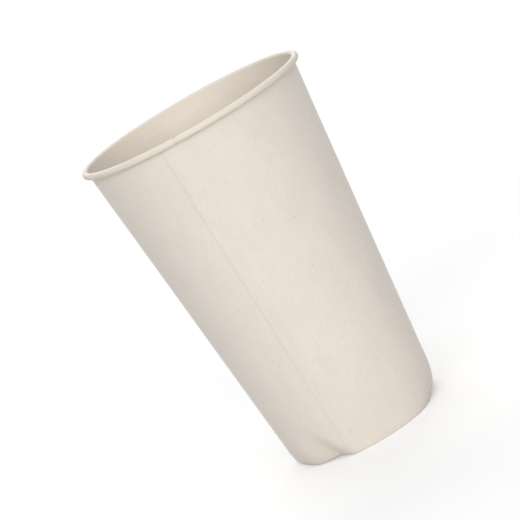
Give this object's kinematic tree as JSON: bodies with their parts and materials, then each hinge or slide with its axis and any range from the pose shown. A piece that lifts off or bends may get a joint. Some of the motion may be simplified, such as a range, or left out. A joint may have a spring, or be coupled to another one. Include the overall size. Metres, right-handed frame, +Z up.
{
  "type": "paper cup",
  "caption": "Tapered off-white paper cup for hot or cold drinks, with a rolled rim, a lapped side seam and a recessed base in a folded foot.",
  "frame": {"origin": "centre of the foot, on the surface the cup stands on", "axes": "+Z up the cup's axis to the mouth; the side seam's outer edge is 21 degrees from -Y towards -X"},
  "size_m": [0.09, 0.09, 0.134],
  "materials": {
    "wall_paper": "smooth satin coated sugarcane-fibre board, warm off-white",
    "base_paper": "smooth satin coated sugarcane-fibre board, warm off-white"
  },
  "bodies": {
    "root": {"cup_wall": "wall_paper", "cup_base": "base_paper"}
  },
  "joints": []
}
